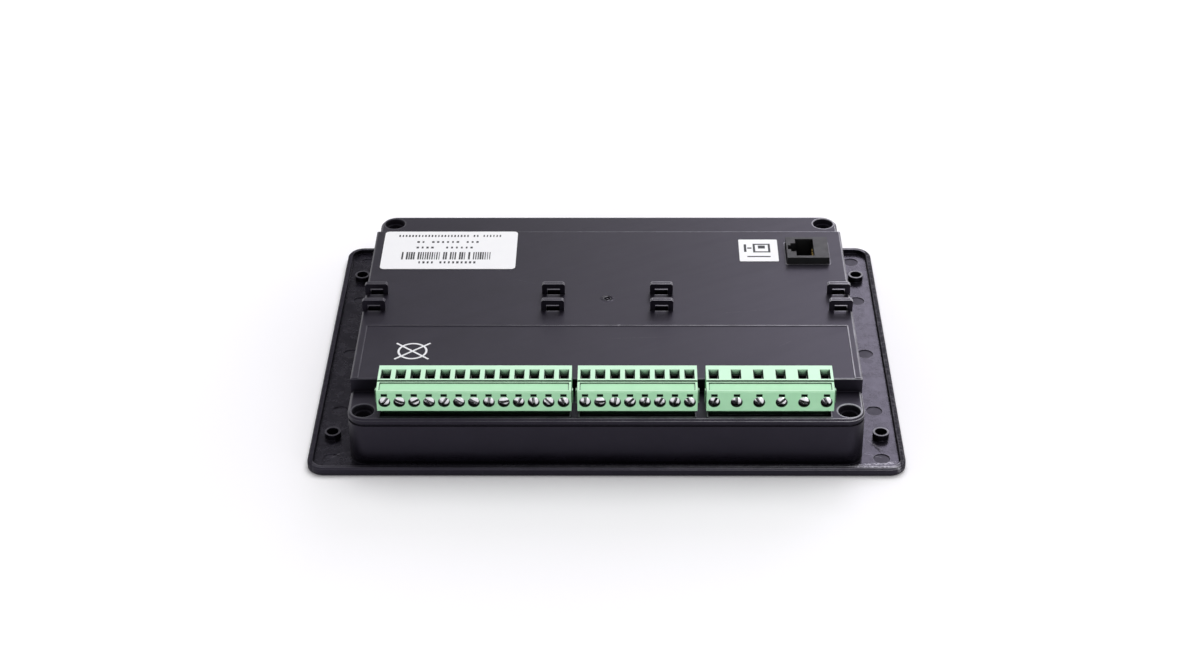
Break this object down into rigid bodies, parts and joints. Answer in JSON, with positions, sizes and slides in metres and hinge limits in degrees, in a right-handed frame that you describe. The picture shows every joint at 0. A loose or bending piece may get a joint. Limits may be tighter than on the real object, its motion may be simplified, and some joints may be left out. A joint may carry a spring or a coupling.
{
  "type": "genset controller",
  "caption": "Panel-mount generator controller lying face down: black bezel case and stepped rear cover, green pull-off screw terminals, data jack, cable-tie loops and front keys.",
  "frame": {"origin": "middle of the bezel's front face, which lies on the table", "axes": "+X along the terminal row, +Y from the terminals towards the data jack, +Z out of the back"},
  "size_m": [0.203, 0.149, 0.031],
  "materials": {
    "case_black": "fine moulded grain, satin",
    "terminal_green": "satin polyamide",
    "header_green": "satin polyamide",
    "bright_steel": "bright plated",
    "dark_steel": "black passivated",
    "tinned": "tin plated",
    "jack_black": "smooth",
    "contact_gold": "gold flashed",
    "label_white": "satin film",
    "board_green": "solder resist",
    "component_dark": "moulded",
    "ferrite": "plain",
    "display_metal": "plain",
    "display_glass": "polished",
    "light_guide": "smooth",
    "window_clear": "polished",
    "fascia_grey": "textured film",
    "key_grey": "satin",
    "key_red": "satin",
    "key_green": "satin",
    "switch_cream": "plain",
    "lamp_clear": "clear"
  },
  "bodies": {
    "housing": {"front_case": "case_black", "rear_cover": "case_black", "cover_screws": "dark_steel", "rating_label": "label_white", "port_label": "label_white", "header_13way": "header_green", "header_8way": "header_green", "header_6way": "header_green", "header_pins": "tinned", "data_jack": "jack_black", "jack_contacts": "contact_gold", "main_board": "board_green", "board_screws": "bright_steel", "relays": "component_dark", "capacitors": "component_dark", "power_choke": "ferrite", "processor_chip": "component_dark", "lcd_frame": "display_metal", "lcd_glass": "display_glass", "backlight": "light_guide", "display_window": "window_clear", "fascia_overlay": "fascia_grey", "switch_bodies": "component_dark", "status_leds": "lamp_clear"},
    "plug_13way_assembly": {"plug_13way": "terminal_green", "plug_13way_screws": "bright_steel", "plug_13way_cages": "tinned", "plug_13way_contacts": "tinned"},
    "plug_8way_assembly": {"plug_8way": "terminal_green", "plug_8way_screws": "bright_steel", "plug_8way_cages": "tinned", "plug_8way_contacts": "tinned"},
    "plug_6way_assembly": {"plug_6way": "terminal_green", "plug_6way_screws": "bright_steel", "plug_6way_cages": "tinned", "plug_6way_contacts": "tinned"},
    "key_scroll_assembly": {"key_scroll": "key_grey", "plunger_scroll": "switch_cream"},
    "key_stop_assembly": {"key_stop": "key_red", "plunger_stop": "switch_cream"},
    "key_manual_assembly": {"key_manual": "key_grey", "plunger_manual": "switch_cream"},
    "key_auto_assembly": {"key_auto": "key_grey", "plunger_auto": "switch_cream"},
    "key_start_assembly": {"key_start": "key_green", "plunger_start": "switch_cream"}
  },
  "joints": [
    {"name": "plug_13way_pull", "type": "slide", "parent": "housing", "child": "plug_13way_assembly", "axis": [0, 0, 1], "range_m": [0, 0.01]},
    {"name": "plug_8way_pull", "type": "slide", "parent": "housing", "child": "plug_8way_assembly", "axis": [0, 0, 1], "range_m": [0, 0.01]},
    {"name": "plug_6way_pull", "type": "slide", "parent": "housing", "child": "plug_6way_assembly", "axis": [0, 0, 1], "range_m": [0, 0.01]},
    {"name": "key_scroll_press", "type": "slide", "parent": "housing", "child": "key_scroll_assembly", "axis": [0, 0, 1], "range_m": [0, 0.0005], "stiffness_N_per_m": 1500},
    {"name": "key_stop_press", "type": "slide", "parent": "housing", "child": "key_stop_assembly", "axis": [0, 0, 1], "range_m": [0, 0.0005], "stiffness_N_per_m": 1500},
    {"name": "key_manual_press", "type": "slide", "parent": "housing", "child": "key_manual_assembly", "axis": [0, 0, 1], "range_m": [0, 0.0005], "stiffness_N_per_m": 1500},
    {"name": "key_auto_press", "type": "slide", "parent": "housing", "child": "key_auto_assembly", "axis": [0, 0, 1], "range_m": [0, 0.0005], "stiffness_N_per_m": 1500},
    {"name": "key_start_press", "type": "slide", "parent": "housing", "child": "key_start_assembly", "axis": [0, 0, 1], "range_m": [0, 0.0005], "stiffness_N_per_m": 1500}
  ]
}
